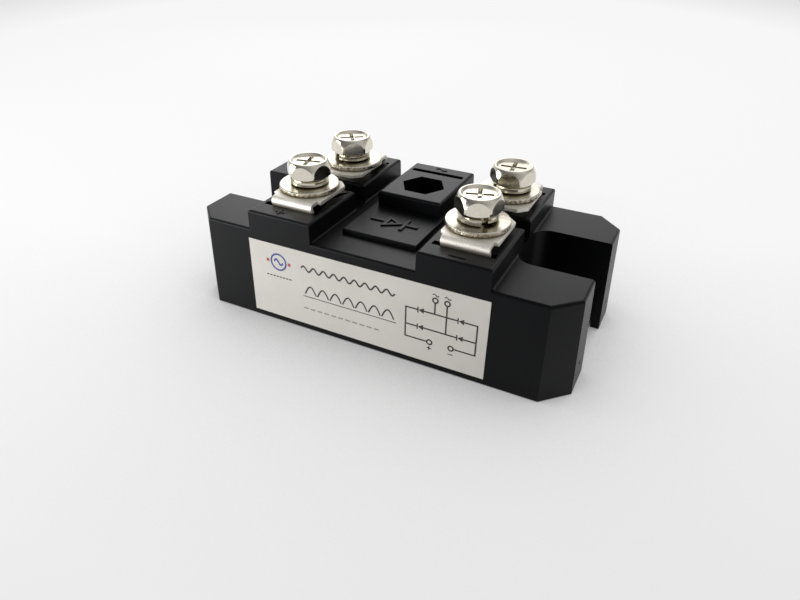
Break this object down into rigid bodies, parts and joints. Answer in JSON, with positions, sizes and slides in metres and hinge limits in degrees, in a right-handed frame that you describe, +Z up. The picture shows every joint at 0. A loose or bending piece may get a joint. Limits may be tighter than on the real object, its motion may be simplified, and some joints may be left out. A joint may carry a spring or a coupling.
{
  "type": "bridge rectifier",
  "caption": "Block-shaped bridge rectifier module: black moulded housing on a metal base plate, screw terminals on raised blocks, pale label on the front, open mounting slots in the ends.",
  "frame": {"origin": "centre of the base plate's underside, on the face that meets the heat sink", "axes": "+Z up, away from the heat sink; +X along the housing from the left mounting hole to the right one; -Y towards the labelled front with the plus and minus terminals"},
  "size_m": [0.082, 0.0401, 0.0322],
  "materials": {
    "housing_plastic": "matte",
    "plated_copper": "satin",
    "label_stock": "satin",
    "potting_compound": "satin",
    "alumina": "matte",
    "copper": "satin",
    "silicon": "satin",
    "plated_strap": "satin",
    "plated_steel": "polished",
    "plated_spring_steel": "polished"
  },
  "bodies": {
    "root": {"housing": "housing_plastic", "base_plate": "plated_copper", "label": "label_stock", "potting": "potting_compound", "ceramic_tile": "alumina", "pad_plus": "copper", "pad_minus": "copper", "pad_ac_1": "copper", "pad_ac_2": "copper", "diode_1": "silicon", "diode_2": "silicon", "diode_3": "silicon", "diode_4": "silicon", "link_ac_1": "copper", "link_ac_2": "copper", "link_minus_1": "copper", "link_minus_2": "copper", "strap_plus": "plated_strap", "strap_minus": "plated_strap", "strap_ac_1": "plated_strap", "strap_ac_2": "plated_strap", "nut_plus": "plated_steel", "nut_minus": "plated_steel", "nut_ac_1": "plated_steel", "nut_ac_2": "plated_steel", "flat_washer_plus": "plated_steel", "flat_washer_minus": "plated_steel", "flat_washer_ac_1": "plated_steel", "flat_washer_ac_2": "plated_steel", "spring_washer_plus": "plated_spring_steel", "spring_washer_minus": "plated_spring_steel", "spring_washer_ac_1": "plated_spring_steel", "spring_washer_ac_2": "plated_spring_steel", "screw_plus": "plated_steel", "screw_minus": "plated_steel", "screw_ac_1": "plated_steel", "screw_ac_2": "plated_steel"}
  },
  "joints": []
}
